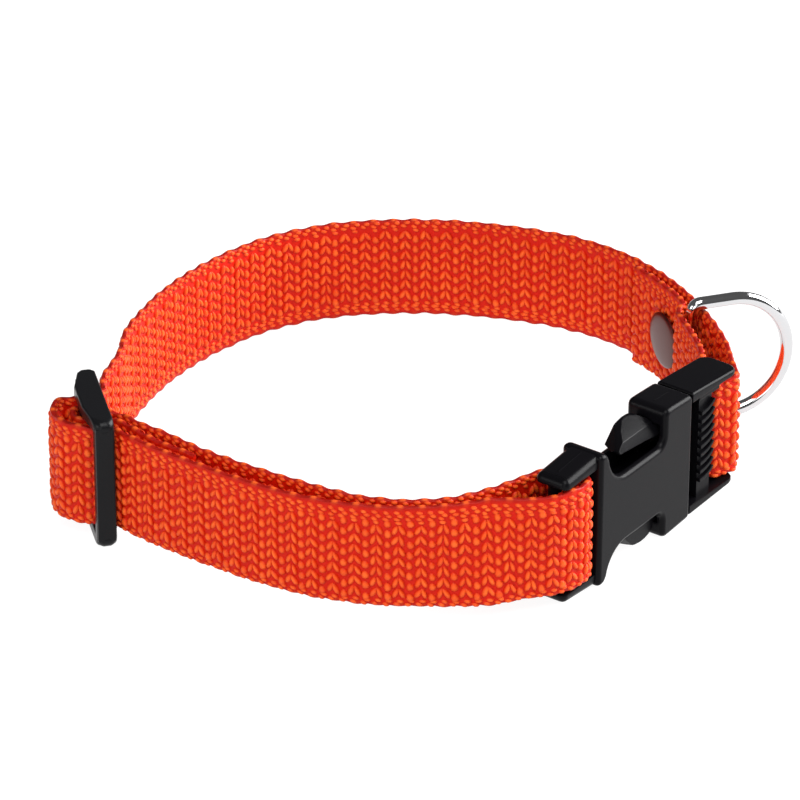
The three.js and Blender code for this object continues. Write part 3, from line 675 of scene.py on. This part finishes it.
# %% [markdown]
# ## The buckle's socket
# The left half is a flat moulded shell with a narrow waist. Its upper and lower sides are open
# as windows, where the plug's prongs latch, and a frame at its end holds the strap round a bar.
# A box that is scaled in at the waist would blur the sharp turn from window to shoulder. So the
# outline is drawn and extruded, its rim is rounded before it is hollowed, which keeps the
# windows' edges crisp, and the frame's arms are plates of their own.

# %% Buckle sizes, in mm from its seam
BUCKLE_AT = (53.489, -22.344, 16.2)
BUCKLE_TURN = 54.5
BUCKLE_TILT = 0.6
PLUG_BEND = -1.7
BUCKLE_THICK = 10.4
BUCKLE_HALF = 16.2
MOUTH_HALF = 15.5
MOUTH_LENGTH = 10.8
WAIST_ABOVE = 7.6
WAIST_BELOW = 9.0
SHOULDER = -35.8
SHOULDER_WALL = 3.4
SOCKET_END = -47.6
SOCKET_END_HALF = 15.1
SHELL_WALL = 1.6
FRAME_INSIDE = 13.0
BAR_RADIUS = 1.5
RIM = 2.0  # how far the moulded rims are rounded
WINDOW_FILLET = 2.4
SHOULDER_FLARE = 7.0  # length of the curve from the waist out to the shoulder
SOCKET_BAR_AT = SOCKET_END + 1.9
print("the socket is", BUCKLE_THICK, "mm thick and", -SOCKET_END, "mm long with its frame")

# %% Arms and bars for both frames
def frame_arm(name, along, half_depth, heights, end_radius, rim):
    """An arm above a frame: its outer face slopes, its far end is rounded in plan, and the rim
    of its outer face is rounded off."""
    near, far = along
    outline = arc(far - math.copysign(end_radius, far), half_depth - end_radius,
                  math.copysign(end_radius, far), end_radius, 90, 0, 4)
    points = [(near, half_depth), *outline]
    points += [(a, -b) for a, b in reversed(points)]
    arm = outline_plate(name, points, FRAME_INSIDE, heights[0], upright=True)
    slope = (heights[1] - heights[0]) / (far - near)
    top = heights[0] - 0.01
    for corner in arm.data.vertices:
        if corner.co.z / MM > top:
            corner.co.z += slope * (corner.co.x / MM - near) * MM
    bpy.ops.object.mode_set(mode="EDIT")
    select_where(arm, "EDGE", lambda e, m: min(v.co.z for v in e.verts) / MM > FRAME_INSIDE + 1)
    bpy.ops.mesh.bevel(offset=rim * MM, segments=5)
    bpy.ops.object.mode_set(mode="OBJECT")
    round_edges(arm, 0.25, 2, 50)
    return arm


def below(piece):
    """A copy of a piece on the buckle's lower side."""
    select_only(piece)
    bpy.ops.object.duplicate()
    copy = bpy.context.active_object
    turn_mesh(copy, "X", 180)
    return copy


def frame_bar(name, along):
    """The round bar that holds the webbing, as long as the frame is wide inside."""
    bpy.ops.object.select_all(action="DESELECT")
    bpy.ops.mesh.primitive_cylinder_add(
        vertices=24, radius=BAR_RADIUS * MM, depth=2 * (FRAME_INSIDE + 0.8) * MM,
        location=(along * MM, 0, 0),
    )
    bpy.ops.object.transform_apply(location=True, rotation=True, scale=True)
    return named(name)


print("each frame is", 2 * FRAME_INSIDE, "mm wide inside")

# %% The socket's outline
flare_start = SHOULDER + SHOULDER_WALL + SHOULDER_FLARE


def socket_side(waist):
    """The socket's outline on one side of its middle, from the mouth to the shoulder."""
    return (
        arc(-1.2, MOUTH_HALF - 1.2, 1.2, 1.2, 0, 90, 3)
        + [(-MOUTH_LENGTH + 3.2, BUCKLE_HALF - 0.3)]
        + arc(-MOUTH_LENGTH + 1.6, BUCKLE_HALF - 1.8, 1.6, 1.6, 75, 180, 4)
        + arc(-MOUTH_LENGTH - WINDOW_FILLET, waist + WINDOW_FILLET,
              WINDOW_FILLET, WINDOW_FILLET, 0, -90, 5)
        + arc(flare_start, BUCKLE_HALF, SHOULDER_FLARE, BUCKLE_HALF - waist, 270, 192, 8)
        + [(SHOULDER + SHOULDER_WALL - 0.9, BUCKLE_HALF), (SHOULDER, BUCKLE_HALF)]
    )


lower_side = [(along, -height) for along, height in reversed(socket_side(WAIST_BELOW))]
socket_outline = socket_side(WAIST_ABOVE) + lower_side
print("the socket's outline has", len(socket_outline), "points")

# %% The socket's shell, rounded and then hollowed
socket = outline_plate("buckle_socket", socket_outline, -BUCKLE_THICK / 2, BUCKLE_THICK / 2)
round_edges(socket, RIM, 5, 50)
mouth_inside = MOUTH_HALF - 2 * SHELL_WALL
inner_half = BUCKLE_THICK / 2 - SHELL_WALL
window_end = SHOULDER + SHOULDER_WALL
cavity_outline = with_mirror(
    [(1, mouth_inside), (-MOUTH_LENGTH, mouth_inside), (-MOUTH_LENGTH, BUCKLE_HALF + 1),
     (window_end, BUCKLE_HALF + 1)]
)
cavity = outline_plate("cavity", cavity_outline, -inner_half, inner_half)
cut_away(socket, cavity)
print("hollowed, the shell has", len(socket.data.polygons), "faces")

# %% [markdown]
# ## The socket's frame
# The two arms slope down to their ends, and the mould has left a hairline along the middle of
# the outer faces. The arms hide the ends of a round bar. A hairline is only a tenth of a
# millimetre high, but it catches the light, so it is a thin plate and not a line of colour.

# %% The socket's frame and hairlines
SOCKET_ARM_DEPTH = 4.2  # half of the arm's depth
socket_arm = frame_arm("socket_arm", (SHOULDER + 2, SOCKET_END), SOCKET_ARM_DEPTH,
                       (BUCKLE_HALF, SOCKET_END_HALF), end_radius=1.6, rim=1.7)


def parting_line(ends, heights):
    """The hairline that the mould leaves along the middle of an outer face."""
    (near, far), (near_height, far_height) = ends, heights
    points = [(near, near_height - 0.2), (near, near_height + 0.09),
              (far, far_height + 0.09), (far, far_height - 0.2)]
    return outline_plate("parting_line", points, -0.1, 0.1)


socket_lines = [
    parting_line((-2.6, -MOUTH_LENGTH + 3), (BUCKLE_HALF - 0.6, BUCKLE_HALF - 0.32)),
    parting_line((SHOULDER, SOCKET_END + 3), (BUCKLE_HALF - 0.12, SOCKET_END_HALF + 0.3)),
]
socket_lines += [below(line) for line in socket_lines]
socket_parts = [socket, socket_arm, below(socket_arm), frame_bar("socket_bar", SOCKET_BAR_AT)]
socket_parts += socket_lines
socket = joined("socket_piece", socket_parts)
smooth_moulded(socket)
place(socket, BUCKLE_AT, BUCKLE_TURN, BUCKLE_TILT)
hand_over(socket, "buckle_socket", "collar", plastic)

# %% [markdown]
# ## The buckle's plug
# The right half has a frame with a ribbed bar that grips the webbing and a round bar that the
# strap turns round. Two springy prongs reach into the socket, and their pads stand in its
# windows. A pad has flat facets that meet at clear ridges. Smoothing a rough block would round
# those away, so the prong's outline is extruded and three bisects cut the facets.

# %% Plug sizes, in mm from the buckle's seam
PLUG_END = 18.2
PLUG_HALF = 15.35
PLUG_END_HALF = 14.2
PLUG_DEPTH = 9.6
TOOTH_BAR = (4.6, 9.4)
TOOTH_COUNT = 9
TOOTH_PITCH = 2.1
TOOTH_TIP = 0.7  # how far a rib reaches past the bar
PLUG_BAR_AT = 14.92
PRONG_LENGTH = 25.0
PRONG_WIDTH = 3.6
PAD_HALF = 14.7
PRONG_DEPTH = 5.8
PAD_RIDGE = 1.8  # where the pad's two facets meet, from its middle
RIDGE_HEIGHT = 12.7
FIT_GAP = 0.45
print("the plug reaches from", -PRONG_LENGTH, "to", PLUG_END, "mm")


# %% The upper prong
def prong_plate():
    """The upper prong: a springy arm and its pad. Three cuts give the pad its facets and point."""
    latch = -MOUTH_LENGTH - FIT_GAP
    arm_top = mouth_inside - FIT_GAP
    points = [
        (0, arm_top - PRONG_WIDTH), (0, arm_top), (latch, arm_top), (latch - 0.2, PAD_HALF - 1.4),
        (latch - 1.6, PAD_HALF - 0.5), (latch - 3.2, PAD_HALF - 0.1), (latch - 5, PAD_HALF),
        (latch - 7, PAD_HALF - 0.3), (latch - 9, PAD_HALF - 0.9), (latch - 11, PAD_HALF - 1.8),
        (1 - PRONG_LENGTH, PAD_HALF - 2.6), (0.2 - PRONG_LENGTH, PAD_HALF - 3.3),
        (0.4 - PRONG_LENGTH, PAD_HALF - 3.8), (latch - 4, arm_top - PRONG_WIDTH + 1.9),
        (latch, arm_top - PRONG_WIDTH + 1.2),
    ]
    plate = outline_plate("prong", points, -PRONG_DEPTH / 2, PRONG_DEPTH / 2)
    bpy.ops.object.mode_set(mode="EDIT")
    ridge = (0, -PAD_RIDGE * MM, RIDGE_HEIGHT * MM)
    tip = ((0.2 - PRONG_LENGTH) * MM, 0, (RIDGE_HEIGHT - 2) * MM)
    for where, facing in ((ridge, (0, -0.91, 0.41)), (ridge, (0, -0.45, 0.89)),
                          (tip, (-0.62, 0.45, 0.64))):
        bpy.ops.mesh.select_all(action="SELECT")
        bpy.ops.mesh.bisect(plane_co=where, plane_no=facing, use_fill=True, clear_outer=True)
    bpy.ops.object.mode_set(mode="OBJECT")
    round_edges(plate, 0.15, 2, 30)
    return plate


upper_prong = prong_plate()
print("a prong has", len(upper_prong.data.polygons), "faces")


# %% The ribbed bar
def tooth_ribs():
    """The gripping bar and its ribs, curved blades that rise to a tip beside the strap."""
    face = PLUG_DEPTH / 2 - 1.2
    near, far = TOOTH_BAR
    bar = block("tooth_bar", TOOTH_BAR, (-face, face), (-FRAME_INSIDE - 0.5, FRAME_INSIDE + 0.5))
    top = FRAME_INSIDE - 1.6
    below_edge = arc(near, 2.3, far + TOOTH_TIP - near, 2.9, 270, 345, 6)
    above_edge = arc(near, 3.3, far + TOOTH_TIP - near, 2.9, 270, 330, 6)
    points = [(along, top - 3 + height) for along, height in below_edge + above_edge[::-1]]
    rib = outline_plate("tooth_rib", points, -face - 0.9, -face + 0.5)
    round_edges(rib, 0.2, 2)
    apply_modifier(
        rib, "ARRAY", count=TOOTH_COUNT, use_relative_offset=False, use_constant_offset=True,
        constant_offset_displace=(0, 0, -TOOTH_PITCH * MM),
    )
    return [bar, rib]


print("the bar has", TOOTH_COUNT, "ribs that are", TOOTH_PITCH, "mm apart")

# %% The plug's frame, turned a little where the strap pulls on it
plug_arm = frame_arm("plug_arm", (FIT_GAP, PLUG_END), PLUG_DEPTH / 2,
                     (PLUG_HALF, PLUG_END_HALF), end_radius=2.6, rim=0.6)
root_block = block("arm_root", (TOOTH_BAR[0] - 1, TOOTH_BAR[1] + 2), (-4.4, 2),
                   (FRAME_INSIDE - 1.2, FRAME_INSIDE + 0.5))
round_edges(root_block, 0.3, 2)
frame_parts = [plug_arm, below(plug_arm), root_block, frame_bar("plug_bar", PLUG_BAR_AT)]
frame_parts += tooth_ribs()
for part in frame_parts:
    turn_mesh(part, "Z", PLUG_BEND)
print("frame parts:", [part.name for part in frame_parts])

# %% The plug's inner parts, and the whole plug
plug_half_inside = inner_half - FIT_GAP
plug_wall = block("plug_wall", (-2.2, 2.4), (-plug_half_inside, plug_half_inside),
                  (-mouth_inside + FIT_GAP, mouth_inside - FIT_GAP))
plug_root = block("plug_root", (0.7, 2.4), (-plug_half_inside, plug_half_inside),
                  (-FRAME_INSIDE - 0.8, FRAME_INSIDE + 0.8))
guide = block("plug_guide", (-20, 0), (-plug_half_inside, plug_half_inside), (-2.5, 2.5))
plug = joined(
    "plug_piece",
    [plug_wall, plug_root, guide, upper_prong, below(upper_prong), *frame_parts],
)
smooth_moulded(plug)
place(plug, BUCKLE_AT, BUCKLE_TURN, BUCKLE_TILT)
hand_over(plug, "buckle_plug", "collar", plastic)

# %% [markdown]
# ## The slider
# A moulded frame with three upright bars. Its two rails swell outward over the middle bar and
# are rounded at their near ends, and the bars' edges are cut off. Two windows cut out of one
# block would leave them all with the same square edges, so rails and bars are made apart, each
# with its own rounding, and joined.

# %% The slider's rails
SLIDER_AT = (-71.986, -25.788, 15.8)
SLIDER_TURN = -77
SLIDER_HALF = 15.8
SLIDER_LENGTH = 24.4
SLIDER_THICK = 4.4
SLIDER_RAIL = 2.9
SLIDER_END_BAR = 3.3
SLIDER_NOSE = 1.9  # radius of the rails' near ends
half_length = SLIDER_LENGTH / 2
half_thick = SLIDER_THICK / 2
rail_outline = [
    (-half_length + 1, half_thick), (half_length - 1, half_thick), (half_length, half_thick - 1),
    (half_length, -half_thick + 1), (half_length - 1, -half_thick), (3.6, -half_thick - 1.3),
    (-5.4, -half_thick - 1.3), (-half_length + 1, -half_thick + 0.4),
    (-half_length, -half_thick + 1.4), (-half_length, half_thick - 1),
]
upper_rail = outline_plate("slider_rail", rail_outline, SLIDER_HALF - SLIDER_RAIL, SLIDER_HALF,
                           upright=True)
bpy.ops.object.mode_set(mode="EDIT")
select_where(upper_rail, "EDGE",
             lambda e, m: m.x > half_length - 0.6 and m.z > SLIDER_HALF - 0.1)
bpy.ops.mesh.bevel(offset=SLIDER_NOSE * MM, segments=6)
bpy.ops.object.mode_set(mode="OBJECT")
round_edges(upper_rail, 0.5, 3)
print("a rail has", len(upper_rail.data.polygons), "faces")


# %% The slider's bars, and the whole slider
def slider_bar(name, along, through, cut):
    """An upright bar of the slider with its edges cut."""
    reach = SLIDER_HALF - SLIDER_RAIL / 2
    bar = block(name, along, through, (-reach, reach))
    round_edges(bar, cut, 2)
    return bar


bar_start = half_length - SLIDER_END_BAR
slider = joined(
    "slider_piece",
    [
        upper_rail,
        below(upper_rail),
        slider_bar("far_bar", (-half_length, -bar_start), (-half_thick, half_thick), 0.8),
        slider_bar("near_bar", (bar_start, half_length), (-half_thick, half_thick), 0.8),
        slider_bar("middle_bar", (-1.5, 1.5), (-3.24, -1.14), 0.6),
    ],
)
smooth_moulded(slider)
place(slider, SLIDER_AT, SLIDER_TURN)
hand_over(slider, "slider", "collar", slider_plastic)

# %% [markdown]
# ## The D-ring
# Round wire bent to a D and welded. A torus could be cut and stretched to a D, but its wire
# would get thicker and thinner. So a loop of corners is moved onto the wire's middle line and
# turned into a curve, whose bevel keeps the wire round everywhere. It rides on its own body,
# because the ring swings about its straight bar.

# %% The D-ring
WIRE_RADIUS = 1.5
RING_HALF = 14.35
RING_REACH = 22.6
RING_STRAIGHT = 9.4
RING_CORNER = 1.9
RING_TURN = 16.9
ring_joint = frame["joints"][0]["pos_m"]
upper_half = (
    [(0, part * (RING_HALF - RING_CORNER) / 6) for part in range(0, 7)]
    + arc(RING_CORNER, RING_HALF - RING_CORNER, RING_CORNER, RING_CORNER, 170, 90, 8)
    + [(RING_CORNER + part, RING_HALF) for part in (1.5, 3, 4.5, 6)]
    + arc(RING_STRAIGHT, 0, RING_REACH - RING_STRAIGHT, RING_HALF, 90, 0, 26)
)
ring_points = upper_half + [(x, -z) for x, z in reversed(upper_half[1:-1])]
bpy.ops.object.select_all(action="DESELECT")
bpy.ops.mesh.primitive_circle_add(vertices=len(ring_points), radius=1)
ring = named("ring_piece")
for corner, (x, z) in zip(ring.data.vertices, ring_points):
    corner.co = Vector((x, 0, z)) * MM
bpy.ops.object.convert(target="CURVE")
ring.data.bevel_depth = WIRE_RADIUS * MM
ring.data.bevel_resolution = 6
bpy.ops.object.convert(target="MESH")
smooth(ring, 80)
place(ring, [value / MM for value in ring_joint], RING_TURN)
hand_over(ring, "d_ring", "ring", steel)

# %% [markdown]
# ## The rivet
# Two pressed caps with a very low dome. A flattened ball would have no rim, so each cap is a
# thin disc whose face is inset in steps, each step a little higher than the last, until the dome
# is smooth.

# %% A rivet's cap
CAP_RADIUS = 6.5
CAP_RIM = 0.35
CAP_DOME = 1.0
DOME_STEPS = 6
CAP_OUT = 2.73  # from the rivet's middle to the caps' flat backs
SHANK_RADIUS = 2.0
print("a cap is", 2 * CAP_RADIUS, "mm across and", CAP_DOME, "mm high")


def rivet_cap(name, out):
    """One domed cap, its flat back at a distance out from the rivet's middle, in mm."""
    bpy.ops.object.select_all(action="DESELECT")
    bpy.ops.mesh.primitive_cylinder_add(
        vertices=64, radius=CAP_RADIUS * MM, depth=CAP_RIM * MM,
        location=(0, 0, (out + CAP_RIM / 2) * MM),
    )
    bpy.ops.object.transform_apply(location=True, rotation=True, scale=True)
    cap = named(name)
    bpy.ops.object.mode_set(mode="EDIT")
    for step in range(DOME_STEPS):
        top = max(v.co.z for v in bmesh.from_edit_mesh(cap.data).verts) / MM
        select_where(cap, "FACE", lambda f, m: f.normal.z > 0.99 and m.z > top - 0.01)
        outer = CAP_RADIUS * math.cos(math.radians(90 * step / DOME_STEPS))
        inner = CAP_RADIUS * math.cos(math.radians(90 * (step + 0.97) / DOME_STEPS))
        rise = (CAP_DOME - CAP_RIM) * (
            math.sin(math.radians(90 * (step + 1) / DOME_STEPS))
            - math.sin(math.radians(90 * step / DOME_STEPS))
        )
        bpy.ops.mesh.inset(thickness=(outer - inner) * MM, depth=rise * MM)
    bpy.ops.object.mode_set(mode="OBJECT")
    return cap


# %% The rivet, turned to lie flat on the strap
def strap_direction_near(point):
    """Degrees that the strap turns to at the point of its line nearest to a place in mm."""
    nearest = np.argmin(np.linalg.norm(middle_line[:, :2] - point[:2], axis=1))
    step = middle_line[nearest + 2] - middle_line[nearest - 2]
    return math.degrees(math.atan2(step[1], step[0]))


low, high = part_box("rivet")
rivet_middle = (low + high) / 2 / MM
outer_cap = rivet_cap("outer_cap", CAP_OUT)
inner_cap = rivet_cap("inner_cap", CAP_OUT)
turn_mesh(outer_cap, "X", 90)
turn_mesh(inner_cap, "X", -90)
bpy.ops.object.select_all(action="DESELECT")
bpy.ops.mesh.primitive_cylinder_add(
    vertices=24, radius=SHANK_RADIUS * MM, depth=5.6 * MM, rotation=(math.pi / 2, 0, 0)
)
bpy.ops.object.transform_apply(location=True, rotation=True, scale=True)
rivet = joined("rivet_piece", [outer_cap, inner_cap, named("shank")])
smooth(rivet, 40)
place(rivet, rivet_middle, strap_direction_near(np.array(rivet_middle)))
hand_over(rivet, "rivet", "collar", nickel)

# %% [markdown]
# ## The studio
# The photograph is a product shot on white. The ground is so bright that it shows no shadow: the
# upright black faces reflect it and look grey, and the upper faces reflect a dim room and look
# black. Strong lamps alone would bleach the webbing before they made the ground that white, so
# the paper gives off light of its own.

# %% The paper ground
bpy.ops.object.select_all(action="DESELECT")
bpy.ops.mesh.primitive_plane_add(size=6, location=(0, 0, 0))
floor = named("floor")
paper, paper_shader = new_material("paper", (0.2, 0.2, 0.2, 1), 0.9, specular=0)
paper_shader.inputs["Emission Color"].default_value = (1, 1, 1, 1)
paper_shader.inputs["Emission Strength"].default_value = 0.93
floor.data.materials.append(paper)
print("ground:", floor.name)

# %% [markdown]
# ## The lights
# A soft lamp above and in front shows the weave, a stronger one far to the right brightens the
# inside of the loop at its left end, and two weak ones fill in the front. The room all round is a
# dim white.

# %% Lamps and room
def soft_light(name, at, size, power, aim=(0, 0, 0.01)):
    """A square area light at a place in metres that looks at a point."""
    bpy.ops.object.light_add(type="AREA", location=at)
    lamp = bpy.context.active_object
    lamp.name = name
    lamp.data.shape = "SQUARE"
    lamp.data.size = size
    lamp.data.energy = power
    lamp.rotation_euler = (Vector(aim) - Vector(at)).to_track_quat("-Z", "Y").to_euler()
    return lamp


soft_light("key_light", (0.1, -0.6, 1.1), 0.8, 13)
soft_light("right_light", (1.05, 0.35, 0.55), 0.9, 37)
soft_light("front_light", (-0.2, -1.5, 0.45), 0.8, 4)
soft_light("left_light", (-1.0, -0.7, 0.5), 0.5, 4)

world = bpy.data.worlds.new("room")
world.use_nodes = True
world.node_tree.nodes["Background"].inputs["Color"].default_value = (1, 1, 1, 1)
world.node_tree.nodes["Background"].inputs["Strength"].default_value = 0.12
bpy.context.scene.world = world
bpy.context.scene.view_settings.view_transform = "Standard"

# %% [markdown]
# ## The camera
# A long lens from 1.4 m away, thirty degrees above the ground, as the parallel upright edges in
# the photograph show. A closer camera would make the near side of the loop too large.

# %% The camera
CAMERA_AT = (-0.005836, -1.20687, 0.7125)
ABOVE_GROUND = 30  # degrees
LENS = 283.5
bpy.ops.object.camera_add(
    location=CAMERA_AT, rotation=(math.radians(90 - ABOVE_GROUND), 0, 0)
)
camera = bpy.context.active_object
camera.name = "photo_camera"
camera.data.lens = LENS
camera.data.sensor_width = 36
camera.data.clip_end = 10
bpy.context.scene.camera = camera
print("camera at", CAMERA_AT, "with a lens of", LENS, "mm")
